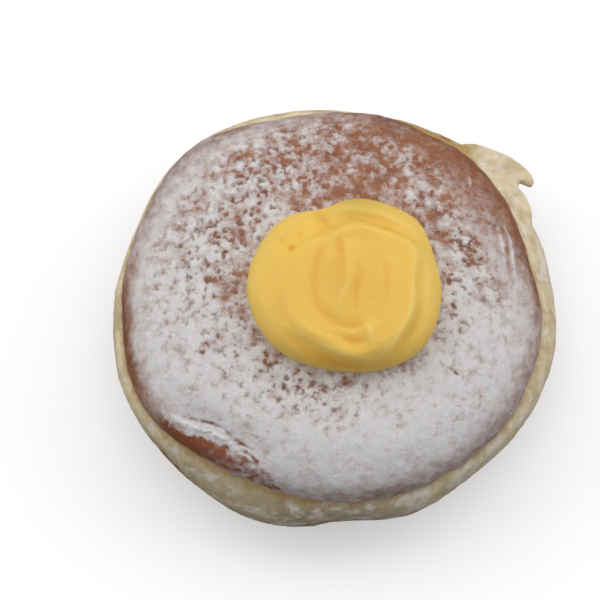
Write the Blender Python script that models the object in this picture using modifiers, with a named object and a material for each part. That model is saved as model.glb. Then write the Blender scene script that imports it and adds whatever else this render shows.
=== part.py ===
"""Custard-filled doughnut: a fried bun with a pale band round its middle and custard piped on its top.

Units are metres, +Z is up, and the doughnut rests on the plane z = 0 with the middle of its bounding
box over the origin. Directions are degrees, counted from +X towards +Y. Uneven outlines are short
lists of bumps, each given as its direction, its spread in degrees and its height.
"""

import math

import bpy
from mathutils import Vector
from mathutils.geometry import interpolate_bezier, intersect_point_line

MM = 0.001

# Bun: a turned profile, crown at the top, pale band at the middle and a flat foot.
COLUMNS = 96
CROWN_RADIUS = 43.0 * MM
CROWN_TOP = 35.5 * MM
CROWN_EDGE = 21.5 * MM
CROWN_SQUARENESS = 2.5
CROWN_RINGS = 15
LIP_TUCK = 0.5 * MM
LIP_DROP = 1.1 * MM
LIP_ROUNDING = 0.1 * MM
WAIST_RADIUS = 46.5 * MM
WAIST_LEVEL = 13.5 * MM
WAIST_SQUARENESS = 1.9
WAIST_RINGS = 4
BAND_BOTTOM_RADIUS = 45.0 * MM
BAND_BOTTOM = 8.4 * MM
BAND_BOTTOM_TUCK = 0.5 * MM
FOOT_RADIUS = 28.0 * MM
FOOT_SQUARENESS = 2.1
FOOT_RINGS = 7
CROWN_BUMPS = (
    (12, 12, -1.1 * MM),
    (58, 24, 1.2 * MM),
    (62, 8, -0.8 * MM),
    (133, 20, 3.6 * MM),
    (170, 20, 1.6 * MM),
    (207, 20, 2.7 * MM),
    (250, 22, -1.3 * MM),
    (324, 16, 0.8 * MM),
    (353, 22, 1.1 * MM),
)
BAND_BUMPS = (
    (18, 9, 0.6 * MM),
    (48, 26, 1.6 * MM),
    (78, 9, -0.8 * MM),
    (119, 24, 1.7 * MM),
    (159, 12, -1.1 * MM),
    (200, 18, 0.8 * MM),
    (248, 14, 0.7 * MM),
    (274, 12, -2.0 * MM),
    (309, 15, -1.2 * MM),
    (352, 18, 1.0 * MM),
)
# How much the crust's edge stands above or below its mean level, and how far that is felt.
EDGE_WAVE_REACH = 6.4 * MM
EDGE_WAVE_START = 26.0 * MM
EDGE_WAVES = (
    (145, 26, -1.6 * MM),
    (238, 26, 1.5 * MM),
    (60, 16, -1.2 * MM),
    (320, 24, -0.7 * MM),
)
# Hollows and swellings of the crown: direction, spread, radius, width, height.
CROWN_DENTS = (
    (228, 15, 38.5 * MM, 2.6 * MM, -1.3 * MM),
    (226, 17, 34.0 * MM, 3.0 * MM, 0.6 * MM),
    (100, 22, 33.0 * MM, 6.0 * MM, -0.6 * MM),
    (20, 26, 35.0 * MM, 5.0 * MM, 0.5 * MM),
    (285, 26, 32.0 * MM, 6.0 * MM, 0.5 * MM),
    (165, 20, 30.0 * MM, 6.0 * MM, -0.5 * MM),
)

# Fin of dough that was squeezed out of the band. Its outline is in plan, about the bun's axis.
FIN_LEVEL = 15.6 * MM
FIN_THICKNESS = 4.6 * MM
FIN_ROUNDING = 0.5 * MM
FIN_TIP_THINNING = 0.3
FIN_ROOT_REACH = 45.0 * MM
FIN_TIP_REACH = 53.0 * MM
FIN_TIP_LIFT = 0.8 * MM
FIN_ROOT = ((40.0 * MM, 17.0 * MM), (30.0 * MM, 24.0 * MM), (24.0 * MM, 33.0 * MM))
FIN_EDGE = (
    (28.4 * MM, 38.3 * MM),
    (33.2 * MM, 37.6 * MM),
    (38.1 * MM, 35.5 * MM),
    (41.7 * MM, 32.6 * MM),
    (43.3 * MM, 30.3 * MM),
    (42.9 * MM, 28.5 * MM),
    (41.6 * MM, 28.9 * MM),
    (39.9 * MM, 29.5 * MM),
    (41.6 * MM, 26.3 * MM),
    (42.8 * MM, 21.5 * MM),
)

# Custard: a mound about its own centre, standing on the crown.
CUSTARD_CENTRE = (1.8 * MM, -1.4 * MM)
CUSTARD_COLUMNS = 90
CUSTARD_RADIUS = 19.4 * MM
CUSTARD_HEIGHT = 8.4 * MM
CUSTARD_WAIST = 2.8 * MM
CUSTARD_SQUARENESS = 2.3
CUSTARD_CONTACT_RADIUS = 18.5 * MM
CUSTARD_TOP_RINGS = 23
CUSTARD_SIDE_RINGS = 4
CUSTARD_UNDER_RINGS = 3
TOUCHING_GAP = 0.3 * MM
CUSTARD_BUMPS = (
    (42, 18, 1.5 * MM),
    (80, 30, 0.4 * MM),
    (104, 18, -2.2 * MM),
    (180, 20, 0.4 * MM),
    (262, 36, -1.9 * MM),
    (325, 26, 1.4 * MM),
    (0, 14, 0.5 * MM),
)
# Share of the mound's height over its waist at which the relief below is at its full height.
RELIEF_FULL = 0.6
# The last turn of the piping lies on the mound as a plate with a folded rim.
PLATE_RADIUS = 13.8 * MM
PLATE_HEIGHT = 1.2 * MM
PLATE_SHARP_EDGE = 1.5 * MM
PLATE_SOFT_EDGE = 5.0 * MM
PLATE_SOFT_SIDE = (172, 40, 1.0)
PLATE_BUMPS = (
    (110, 30, -3.4 * MM),
    (24, 20, 3.2 * MM),
    (345, 14, 1.1 * MM),
    (322, 20, 2.0 * MM),
    (287, 25, 3.6 * MM),
    (222, 26, 0.7 * MM),
)
RIM_HEIGHT = 0.5 * MM
RIM_WIDTH = 1.4 * MM
RIM_INSET = 1.2 * MM
DISC_RADIUS = 8.6 * MM
DISC_GROOVE_DEPTH = 0.3 * MM
DISC_GROOVE_WIDTH = 1.2 * MM
DISC_BUMPS = (
    (165, 42, -2.9 * MM),
    (292, 32, 1.9 * MM),
)
# Creases and ridges of the piping: height, width, then the corners of the smooth line that it
# follows, in millimetres about the custard's centre.
CREASE_STEPS = 5
CREASE_END = 0.06
CUSTARD_CREASES = (
    (-1.0 * MM, 1.3 * MM, ((13.9, 9.4), (10.2, 11.0), (6.2, 12.4), (2.4, 13.4), (-0.4, 13.6))),
    (-0.5 * MM, 1.6 * MM, ((0.4, 13.5), (-4.5, 10.8), (-10.7, 6.7))),
    (-1.9 * MM, 1.7 * MM, ((-3.4, 12.6), (-4.9, 16.2), (-5.6, 19.5))),
    (0.9 * MM, 2.2 * MM, ((-1.0, 15.6), (4.0, 15.8), (9.5, 14.0), (14.0, 10.4))),
    (0.3 * MM, 1.3 * MM, ((0.3, 6.7), (1.5, 3.4), (0.9, -1.1), (-1.6, -7.5))),
    (-0.4 * MM, 1.3 * MM, ((-0.9, 7.6), (-0.5, 4.6), (-1.6, 1.0))),
    (0.2 * MM, 1.3 * MM, ((5.5, 7.0), (7.2, 4.1), (8.8, 0.9), (9.7, -2.6))),
    (0.7 * MM, 1.8 * MM, ((5.2, -8.4), (5.7, -11.5), (6.8, -14.4))),
    (-0.25 * MM, 1.3 * MM, ((0.0, -12.8), (2.4, -13.2), (4.2, -12.4))),
    (0.7 * MM, 2.0 * MM, ((17.6, 5.0), (17.9, -3.0), (17.2, -8.4), (14.6, -13.4))),
    (0.7 * MM, 2.0 * MM, ((-5.6, -16.0), (-9.6, -14.0), (-13.6, -10.6), (-16.4, -5.4), (-17.2, -1.0))),
    (0.6 * MM, 1.7 * MM, ((-11.9, -9.9), (-8.9, -11.3), (-5.9, -13.0), (-2.9, -15.0), (0.2, -16.5))),
    (1.0 * MM, 1.3 * MM, ((-4.5, -14.2), (-1.4, -16.1), (2.6, -17.3), (6.4, -17.4), (9.4, -15.2),
                          (12.0, -11.9), (14.0, -7.6), (14.4, -3.4))),
)


def smoothstep(low, high, value):
    """0 below low, 1 above high, and a smooth rise between them."""
    share = min(max((value - low) / (high - low), 0.0), 1.0)
    return share * share * (3.0 - 2.0 * share)


def mix(first, second, share):
    return first + (second - first) * share


def bell(gap, spread):
    return math.exp(-((gap / spread) ** 2))


def bump(angle, centre, spread, height):
    """Height of one bump in the direction of angle; all three angles are in degrees."""
    gap = (angle - centre + 180.0) % 360.0 - 180.0
    return height * bell(gap, spread)


def swell(angle, bumps):
    return sum(bump(angle, *each) for each in bumps)


def polar(x, y):
    return math.hypot(x, y), math.degrees(math.atan2(y, x))


def arc(start, end, squareness, rings, outwards):
    """Points after start along a quarter of a rounded square to end, each as (radius, height).

    Outwards it leaves start level and reaches end upright; otherwise it leaves upright and lands level.
    """
    points = []
    for ring in range(1, rings + 1):
        turn = 0.5 * math.pi * ring / rings
        level = math.sin(turn) ** (2.0 / squareness)
        upright = 1.0 - math.cos(turn) ** (2.0 / squareness)
        across, along = (level, upright) if outwards else (upright, level)
        points.append((mix(start[0], end[0], across), mix(start[1], end[1], along)))
    return points


def crown_height(radius):
    """Level of the smooth crown at this distance from the bun's axis."""
    share = (radius / CROWN_RADIUS) ** CROWN_SQUARENESS
    return mix(CROWN_EDGE, CROWN_TOP, (1.0 - share) ** (1.0 / CROWN_SQUARENESS))


def bun_profile():
    """The bun's outline from the top of its axis down its outer side to the bottom of its axis."""
    edge = (CROWN_RADIUS, CROWN_EDGE)
    crease = (CROWN_RADIUS - LIP_TUCK, CROWN_EDGE - LIP_DROP)
    lip = (CROWN_RADIUS - LIP_ROUNDING, mix(crease[1], CROWN_EDGE, 0.5))
    waist = (WAIST_RADIUS, WAIST_LEVEL)
    band_bottom = (BAND_BOTTOM_RADIUS, BAND_BOTTOM)
    underside = (BAND_BOTTOM_RADIUS - BAND_BOTTOM_TUCK, BAND_BOTTOM - BAND_BOTTOM_TUCK)
    profile = [(0.0, CROWN_TOP)]
    profile += arc(profile[0], edge, CROWN_SQUARENESS, CROWN_RINGS, True)
    profile += [lip, crease]
    profile += arc(crease, waist, WAIST_SQUARENESS, WAIST_RINGS, True)
    profile += arc(waist, band_bottom, WAIST_SQUARENESS, WAIST_RINGS, False)
    profile += [underside]
    profile += arc(underside, (FOOT_RADIUS, 0.0), FOOT_SQUARENESS, FOOT_RINGS, False)
    return profile + [(0.0, 0.0)]


def custard_profile():
    """The custard's outline from the top of its axis down its side and back under it to the axis."""
    base = crown_height(0.0)
    waist = (CUSTARD_RADIUS, base + CUSTARD_WAIST)
    contact = (CUSTARD_CONTACT_RADIUS, crown_height(CUSTARD_CONTACT_RADIUS) + TOUCHING_GAP)
    profile = [(0.0, base + CUSTARD_HEIGHT)]
    for ring in range(1, CUSTARD_TOP_RINGS + 1):
        turn = 0.5 * math.pi * ring / CUSTARD_TOP_RINGS
        across = math.sin(turn) ** (2.0 / CUSTARD_SQUARENESS)
        up = math.cos(turn) ** (2.0 / CUSTARD_SQUARENESS)
        profile.append((across * waist[0], mix(waist[1], base + CUSTARD_HEIGHT, up)))
    for ring in range(1, CUSTARD_SIDE_RINGS + 1):
        turn = 0.5 * math.pi * ring / CUSTARD_SIDE_RINGS
        across = 1.0 - math.cos(turn)
        profile.append((mix(waist[0], contact[0], across), mix(waist[1], contact[1], math.sin(turn))))
    for ring in range(1, CUSTARD_UNDER_RINGS + 1):
        radius = contact[0] * (1.0 - ring / CUSTARD_UNDER_RINGS)
        profile.append((radius, crown_height(radius) + TOUCHING_GAP))
    return profile


def turned(name, profile, columns, collection):
    """A closed body made by turning the profile about Z."""
    mesh = bpy.data.meshes.new(name)
    points = [(radius, 0.0, height) for radius, height in profile]
    edges = [(index, index + 1) for index in range(len(points) - 1)]
    mesh.from_pydata(points, edges, [])
    body = bpy.data.objects.new(name, mesh)
    collection.objects.link(body)
    screw = body.modifiers.new("turn", "SCREW")
    screw.steps = columns
    screw.render_steps = columns
    screw.use_merge_vertices = True
    screw.merge_threshold = 0.01 * MM
    bake_modifiers(body)
    return body


def bake_modifiers(body):
    """Turns what the modifiers make into the body's own mesh."""
    graph = bpy.context.evaluated_depsgraph_get()
    mesh = bpy.data.meshes.new_from_object(body.evaluated_get(graph))
    body.modifiers.clear()
    body.data = mesh
    mesh.shade_smooth()


def shape_bun(bun):
    """Makes the turned bun uneven: its outline, the level of the crust's edge and the crown's dents."""
    for vertex in bun.data.vertices:
        radius, angle = polar(vertex.co.x, vertex.co.y)
        if radius == 0.0:
            continue
        height = vertex.co.z
        upper = smoothstep(WAIST_LEVEL, CROWN_EDGE, height)
        outline = mix(swell(angle, BAND_BUMPS), swell(angle, CROWN_BUMPS), upper)
        reach = radius + outline * (radius / CROWN_RADIUS) ** 2
        near_edge = smoothstep(EDGE_WAVE_START, CROWN_RADIUS, radius)
        near_edge *= bell(height - CROWN_EDGE, EDGE_WAVE_REACH)
        lift = swell(angle, EDGE_WAVES) * near_edge
        if height > CROWN_EDGE:
            for centre, spread, ring, width, depth in CROWN_DENTS:
                lift += bump(angle, centre, spread, depth) * bell(radius - ring, width)
        vertex.co.x *= reach / radius
        vertex.co.y *= reach / radius
        vertex.co.z += lift


def fin_blade(collection):
    """The fin as a flat piece with round edges, thinner and a little higher at its tip."""
    outline = bpy.data.curves.new("fin", "CURVE")
    outline.dimensions = "2D"
    outline.fill_mode = "BOTH"
    outline.resolution_u = 3
    outline.bevel_depth = FIN_ROUNDING
    outline.offset = -outline.bevel_depth
    outline.bevel_resolution = 1
    outline.extrude = 0.5 * FIN_THICKNESS - outline.bevel_depth
    spline = outline.splines.new("BEZIER")
    corners = FIN_EDGE + FIN_ROOT
    spline.bezier_points.add(len(corners) - 1)
    spline.use_cyclic_u = True
    for point, (x, y) in zip(spline.bezier_points, corners):
        point.co = (x, y, FIN_LEVEL)
        point.handle_left_type = "AUTO"
        point.handle_right_type = "AUTO"
    curve = bpy.data.objects.new("fin", outline)
    collection.objects.link(curve)
    graph = bpy.context.evaluated_depsgraph_get()
    mesh = bpy.data.meshes.new_from_object(curve.evaluated_get(graph))
    bpy.data.objects.remove(curve)
    for vertex in mesh.vertices:
        reach, _ = polar(vertex.co.x, vertex.co.y)
        out = smoothstep(FIN_ROOT_REACH, FIN_TIP_REACH, reach)
        thinning = mix(1.0, FIN_TIP_THINNING, out)
        vertex.co.z = FIN_LEVEL + (vertex.co.z - FIN_LEVEL) * thinning + FIN_TIP_LIFT * out
    blade = bpy.data.objects.new("fin_blade", mesh)
    collection.objects.link(blade)
    weld = blade.modifiers.new("close the caps", "WELD")
    weld.merge_threshold = 0.01 * MM
    blade.hide_render = True
    blade.display_type = "WIRE"
    return blade


def join_fin(bun, blade):
    union = bun.modifiers.new("fin", "BOOLEAN")
    union.operation = "UNION"
    union.object = blade
    bake_modifiers(bun)


def smooth_line(corners):
    """Points in metres along a smooth curve through the corners, which are in millimetres."""
    ends = [Vector(corner) * MM for corner in corners]
    ends = [2.0 * ends[0] - ends[1]] + ends + [2.0 * ends[-1] - ends[-2]]
    points = [ends[1]]
    for before, start, end, after in zip(ends, ends[1:], ends[2:], ends[3:]):
        leave = start + (end - before) / 6.0
        arrive = end - (after - start) / 6.0
        points += interpolate_bezier(start, leave, arrive, end, CREASE_STEPS)[1:]
    return points


def line_relief(place, height, width, line):
    """Height that a crease or ridge along the line adds at this place; it fades out at both ends."""
    nearest = math.inf
    share = 0.0
    for step, (start, end) in enumerate(zip(line, line[1:])):
        along = min(max(intersect_point_line(place, start, end)[1], 0.0), 1.0)
        distance = (place - start.lerp(end, along)).length
        if distance < nearest:
            nearest = distance
            share = (step + along) / (len(line) - 1)
    fade = math.sqrt(math.sin(math.pi * mix(CREASE_END, 1.0 - CREASE_END, share)))
    return height * bell(nearest, width) * fade


def custard_relief(radius, angle, creases):
    """Height that the plate, its rim, the disc in it and the creases add to the mound's top."""
    place = Vector((radius * math.cos(math.radians(angle)), radius * math.sin(math.radians(angle))))
    edge = PLATE_RADIUS + swell(angle, PLATE_BUMPS)
    soft = bump(angle, *PLATE_SOFT_SIDE)
    softness = mix(PLATE_SHARP_EDGE, PLATE_SOFT_EDGE, soft)
    relief = PLATE_HEIGHT * smoothstep(edge + softness, edge - softness, radius)
    relief += (1.0 - soft) * RIM_HEIGHT * bell(radius - edge + RIM_INSET, RIM_WIDTH)
    disc = DISC_RADIUS + swell(angle, DISC_BUMPS)
    relief -= DISC_GROOVE_DEPTH * bell(radius - disc, DISC_GROOVE_WIDTH)
    return relief + sum(line_relief(place, *crease) for crease in creases)


def shape_custard(custard):
    """Makes the turned mound uneven, raises its relief and moves it to its place on the crown."""
    waist = crown_height(0.0) + CUSTARD_WAIST
    top = crown_height(0.0) + CUSTARD_HEIGHT
    creases = [(height, width, smooth_line(corners)) for height, width, corners in CUSTARD_CREASES]
    for vertex in custard.data.vertices:
        radius, angle = polar(vertex.co.x, vertex.co.y)
        reach = radius + swell(angle, CUSTARD_BUMPS) * (radius / CUSTARD_RADIUS) ** 2
        share = smoothstep(waist, mix(waist, top, RELIEF_FULL), vertex.co.z)
        if share > 0.0:
            vertex.co.z += share * custard_relief(reach, angle, creases)
        if radius > 0.0:
            vertex.co.x *= reach / radius
            vertex.co.y *= reach / radius
        vertex.co.x += CUSTARD_CENTRE[0]
        vertex.co.y += CUSTARD_CENTRE[1]


def dress(body, name, colour, roughness):
    """Gives the body its one material."""
    material = bpy.data.materials.new(name)
    material.use_nodes = True
    shader = material.node_tree.nodes["Principled BSDF"]
    shader.inputs["Base Color"].default_value = (*colour, 1.0)
    shader.inputs["Roughness"].default_value = roughness
    shader.inputs["Metallic"].default_value = 0.0
    body.data.materials.clear()
    body.data.materials.append(material)


def centre_on_origin(bodies):
    """Moves the bodies together so that the middle of their bounding box is over the origin."""
    points = [vertex.co for body in bodies for vertex in body.data.vertices]
    middle = [0.5 * (min(p[axis] for p in points) + max(p[axis] for p in points)) for axis in (0, 1)]
    for point in points:
        point.x -= middle[0]
        point.y -= middle[1]


def new_collection(name):
    collection = bpy.data.collections.new(name)
    bpy.context.scene.collection.children.link(collection)
    return collection


def build_bun(parts, helpers):
    bun = turned("dough", bun_profile(), COLUMNS, parts)
    shape_bun(bun)
    join_fin(bun, fin_blade(helpers))
    dress(bun, "fried dough", (0.42, 0.20, 0.08), 0.55)
    return bun


def build_custard(parts):
    custard = turned("custard", custard_profile(), CUSTARD_COLUMNS, parts)
    shape_custard(custard)
    dress(custard, "piped custard", (0.82, 0.52, 0.12), 0.35)
    return custard


def main():
    for existing in list(bpy.data.objects):
        bpy.data.objects.remove(existing)
    parts = new_collection("custard_doughnut")
    helpers = new_collection("helpers")
    bodies = [build_bun(parts, helpers), build_custard(parts)]
    centre_on_origin(bodies)


main()
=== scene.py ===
"""The looks of the custard-filled doughnut: sugared crust, floury band, piped custard, light and camera.

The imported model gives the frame, in metres with +Z up. Directions are degrees, counted from +X towards
+Y about the bun's own axis. Uneven outlines are short lists of bumps, each given as its direction, its
spread in degrees and its height.
"""

import math

import bpy
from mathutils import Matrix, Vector, noise
from mathutils.geometry import interpolate_bezier, intersect_point_line


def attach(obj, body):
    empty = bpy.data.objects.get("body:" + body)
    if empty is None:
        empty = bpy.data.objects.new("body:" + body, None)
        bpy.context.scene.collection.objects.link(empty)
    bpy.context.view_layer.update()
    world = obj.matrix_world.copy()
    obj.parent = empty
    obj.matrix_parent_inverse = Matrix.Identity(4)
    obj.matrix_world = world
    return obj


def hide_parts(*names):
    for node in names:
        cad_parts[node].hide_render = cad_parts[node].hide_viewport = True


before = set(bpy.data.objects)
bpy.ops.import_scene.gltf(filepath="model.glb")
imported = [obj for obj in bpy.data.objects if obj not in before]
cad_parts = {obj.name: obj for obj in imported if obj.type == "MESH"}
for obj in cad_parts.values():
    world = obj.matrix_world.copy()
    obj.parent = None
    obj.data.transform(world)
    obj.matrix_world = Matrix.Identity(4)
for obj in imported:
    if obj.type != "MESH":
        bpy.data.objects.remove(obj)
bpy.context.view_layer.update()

MM = 0.001

# The bun's turning axis, the top of its crown and its crust's lower edge, as the solid has them.
AXIS = Vector((-0.352 * MM, -0.751 * MM))
CROWN_TOP = 35.5 * MM
CRUST_EDGE = 20.5 * MM
EDGE_WAVES = (
    (145, 26, -1.6 * MM),
    (238, 26, 1.5 * MM),
    (60, 16, -1.2 * MM),
    (320, 24, -0.7 * MM),
)
# Raggedness and patchiness are each a size and how far they go.
EDGE_RAGGEDNESS = (3.0 * MM, 0.35 * MM)
EDGE_BLUR = 0.3 * MM

# Mesh fineness: voxel size and rounds of smoothing.
DOUGH_MESH = (0.43 * MM, 5)
CUSTARD_MESH = (0.27 * MM, 3)
SMOOTHING = 0.5
MERGE_DISTANCE = 0.01 * MM
UNSEEN_SHARE_KEPT = 0.08
UNSEEN_LEVEL = 5.0 * MM
UNSEEN_UNDER_CUSTARD = 16.0 * MM

# Random patterns over a surface: how fast their finer octaves weaken, and how much finer each is.
OCTAVE_FALL = 0.7
OCTAVE_STEP = 2.0

# Relief of the crust and of the band: size of the wrinkles and their height. The band's run along it.
CRUST_WRINKLES = ((6.0 * MM, 0.20 * MM), (1.6 * MM, 0.05 * MM))
BAND_WRINKLES = ((6.0 * MM, 0.18 * MM), (1.8 * MM, 0.06 * MM))
BAND_FLATTENING = 1.3
# At the rear the band stands out a little more and the crust a little less.
REAR_SWELL = (103, 16, 0.6 * MM)
REAR_LEVEL = 24.0 * MM
REAR_DEPTH = 4.0 * MM
SUGAR_THICKNESS = 0.26 * MM

# How much icing sugar lies on the crust: at SUGAR_BARE there is none, at SUGAR_FULL it hides the crust.
# Each patch is a direction, a spread, a radius, a width and the change that it makes.
SUGAR_MEAN = 0.745
SUGAR_PATCHES = (
    (55, 42, 30 * MM, 30 * MM, -0.325),
    (96, 28, 30 * MM, 16 * MM, -0.18),
    (58, 24, 40 * MM, 6 * MM, -0.20),
    (138, 30, 33 * MM, 12 * MM, -0.15),
    (24, 22, 41.4 * MM, 4.4 * MM, -0.25),
    (4, 15, 42.4 * MM, 2.6 * MM, -0.20),
    (16, 24, 36.0 * MM, 5.0 * MM, -0.13),
    (0, 30, 28.0 * MM, 7.0 * MM, -0.05),
    (180, 40, 28.0 * MM, 8.0 * MM, -0.06),
    (328, 16, 40.0 * MM, 5.0 * MM, -0.05),
    (183, 13, 45.0 * MM, 2.4 * MM, -0.48),
    (202, 12, 45.6 * MM, 1.9 * MM, -0.34),
    (286, 34, 43.0 * MM, 2.4 * MM, -0.16),
    (300, 60, 32 * MM, 8 * MM, 0.12),
    (215, 30, 35 * MM, 6 * MM, 0.06),
    (180, 14, 22 * MM, 3 * MM, -0.12),
)
SUGAR_NEAR_CUSTARD = (20.0 * MM, 4.0 * MM, -0.10)
SUGAR_RIM = (39.5 * MM, 44.5 * MM, -0.22)
SUGAR_PATCHINESS = ((6.0 * MM, 0.11), (2.4 * MM, 0.25))
SUGAR_BARE = 0.10
SUGAR_FULL = 0.86
# Towards the crust's edge the sugar is a more even veil, which reaches farther in on the right.
VEIL_START = 36.5 * MM
VEIL_END = 41.5 * MM
VEIL_REACH = (28, 34, 8.0 * MM)
VEIL_EVENNESS = 0.55
# Brown specks in the sugar: their size, how much sugar they take away, and where they are frequent.
SPECK_SIZE = 1.25 * MM
SPECK_OCTAVES = 2
SPECK_SHIFT = Vector((0.5, 0.5, 0.5))
SPECK_DEPTH = 0.47
SPECK_EDGES = (0.06, 0.52)
# Where the sugar around a speck is this dense, the crust in it is darkened as painted shade.
SPECK_DARK_SUGAR = (0.35, 0.65)
SPECK_MEAN = 0.25
SPECK_PATCHES = (
    (150, 60, 26 * MM, 9 * MM, 0.75),
    (0, 34, 24 * MM, 5 * MM, 0.60),
    (20, 24, 31 * MM, 5 * MM, 0.35),
    (250, 45, 24 * MM, 5 * MM, 0.65),
    (60, 50, 30 * MM, 14 * MM, 0.30),
    (290, 45, 34 * MM, 5 * MM, -0.25),
    (326, 18, 38 * MM, 5 * MM, 0.25),
)

# The bare glossy streak along the crust's lower left edge. Its ends lie this many spreads from its middle:
# it is whole up to the first and gone from the second.
STREAK_DIRECTION = 242
STREAK_SPREADS = (20, 15)
STREAK_ENDS = (1.1, 1.5)
STREAK_RADIUS = 38.8 * MM
STREAK_RISE = 4.0 * MM
STREAK_TOP_MOST = 43.2 * MM
STREAK_EDGE = 0.6 * MM
STREAK_RAGGEDNESS = (2.0 * MM, 0.7 * MM)
# Thin sugar on the streak, from one direction on.
STREAK_DUST = 0.42
STREAK_DUST_PATCHES = (2.0 * MM, 0.8)
STREAK_DUST_START = (218, 246)

# Marks in the sugar: relief, width, change of sugar, then the corners of the smooth line that the mark
# follows, in millimetres about the bun's axis.
SUGAR_MARKS = (
    (0.32 * MM, 0.46 * MM, 0.42, ((-33.2, -25.8), (-30.9, -27.4), (-28.4, -28.5), (-26.2, -29.1),
                                  (-24.1, -30.2), (-22.4, -31.2), (-21.2, -32.1))),
    (-0.20 * MM, 0.25 * MM, -0.45, ((-31.4, -26.0), (-28.6, -27.0), (-25.9, -27.7), (-23.2, -28.9),
                                    (-21.3, -30.6), (-20.0, -32.3))),
    (-0.15 * MM, 0.22 * MM, -0.60, ((-20.3, -31.4), (-18.4, -32.6), (-16.6, -33.6))),
    (-0.15 * MM, 0.25 * MM, -0.60, ((-19.0, -33.4), (-17.4, -34.4), (-15.6, -36.0))),
    (-0.10 * MM, 0.45 * MM, -0.30, ((-28.1, -14.6), (-25.6, -12.5), (-23.1, -10.1), (-20.3, -7.5))),
    (-0.10 * MM, 0.22 * MM, -0.40, ((21.6, -16.3), (24.0, -17.6), (26.5, -19.3))),
    (0.08 * MM, 0.35 * MM, 0.35, ((35.9, 15.2), (36.8, 11.8), (37.1, 8.3), (37.5, 5.0), (37.5, -0.3))),
    (-0.05 * MM, 0.40 * MM, -0.12, ((35.0, 14.6), (35.9, 10.8), (36.2, 7.3), (36.6, 3.0))),
    (0.08 * MM, 0.30 * MM, 0.30, ((34.2, 14.4), (35.0, 10.4), (35.3, 6.6))),
    (0.05 * MM, 0.30 * MM, 0.20, ((28.7, 26.1), (28.6, 23.2))),
)
MARK_BREAKS = (1.1 * MM, 1.1)
MARK_BREAK_OCTAVES = 2
# How marks are drawn: points between two corners, where they start to fade, and their reach in widths.
MARK_STEPS = 4
MARK_END = 0.04
MARK_REACH = 2.5
# The thick sugar above the streak is lumpy: its line is the first mark.
RIDGE_LUMPS = 1.4

# Lumps of sugar: how many where the cover is full, their radius, their least and most stretch, and how
# dented they are. They lie where the cover is between these shares and clear of the custard.
LUMPS_PER_SQUARE_MM = 0.9
LUMP_RADIUS = 0.12 * MM
LUMP_STRETCHES = ((0.6, 0.6, 0.4), (1.7, 1.7, 1.1))
LUMP_DENTS = 1.2
LUMP_DENTS_PER_RADIUS = 0.45
LUMP_PLACE_SEED = 4
LUMP_STRETCH_SEED = 7
LUMPY_COVER = (0.45, 0.95)
LUMPS_CLEAR = 18.0 * MM

# The band: where it is floury, where the brown underside climbs over it, and its golden upper edge.
FLOUR_MEAN = 0.42
FLOUR_PATCHINESS = (5.0 * MM, 0.45)
FLOUR_BUMPS = (
    (275, 30, 0.16),
    (318, 16, 0.20),
    (15, 14, 0.16),
    (38, 8, 0.10),
    (215, 12, 0.12),
    (150, 30, -0.15),
)
UNDERSIDE_LEVEL = 8.2 * MM
UNDERSIDE_RISES = ((220, 14, 6.6 * MM), (58, 11, 8.8 * MM), (110, 20, 1.2 * MM), (330, 25, 0.8 * MM))
UNDERSIDE_RAGGEDNESS = (3.0 * MM, 0.5 * MM)
UNDERSIDE_BLUR = 0.4 * MM
# Where it climbs it is more ragged and more blurred, by these shares of its rise.
RISE_RAGGEDNESS = 0.12
RISE_BLUR = 0.16
# Painted shade: the band is darker and greener at the front, which faces away from the light.
BAND_FRONT_SHADE = ((262, 30, 0.85), (228, 12, 0.25), (42, 16, 0.12))
# Golden edge right under the crust, the stretches where it is wider, and the share of it that is whole.
GOLDEN_REACH = 0.9 * MM
GOLDEN_STRETCHES = ((62, 12, 4.5 * MM), (250, 25, 0.5 * MM))
GOLDEN_PATCHINESS = (2.5 * MM, 0.6)
GOLDEN_WHOLE = 0.5
GOLDEN_BLUR = 0.8 * MM
GOLDEN_LEAST = 0.1 * MM
GOLDEN_FULL = 2.0 * MM

# Custard: its centre and its waist. Its relief and its tint start about there and are full above it, and
# the relief fades on sides that face up less than this. Its foot settles onto the crust.
CUSTARD_CENTRE = AXIS + Vector((1.8 * MM, -1.4 * MM))
CUSTARD_WAIST = CROWN_TOP + 2.8 * MM
CUSTARD_RELIEF = (CUSTARD_WAIST, CUSTARD_WAIST + 3.0 * MM)
CUSTARD_TINTED = (CUSTARD_WAIST - 1.0 * MM, CUSTARD_WAIST + 1.5 * MM)
CUSTARD_FACING_UP = 0.3
CUSTARD_FOOT = (CUSTARD_WAIST, CUSTARD_WAIST - 2.0 * MM)
CUSTARD_SETTLING = 0.35 * MM
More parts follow.
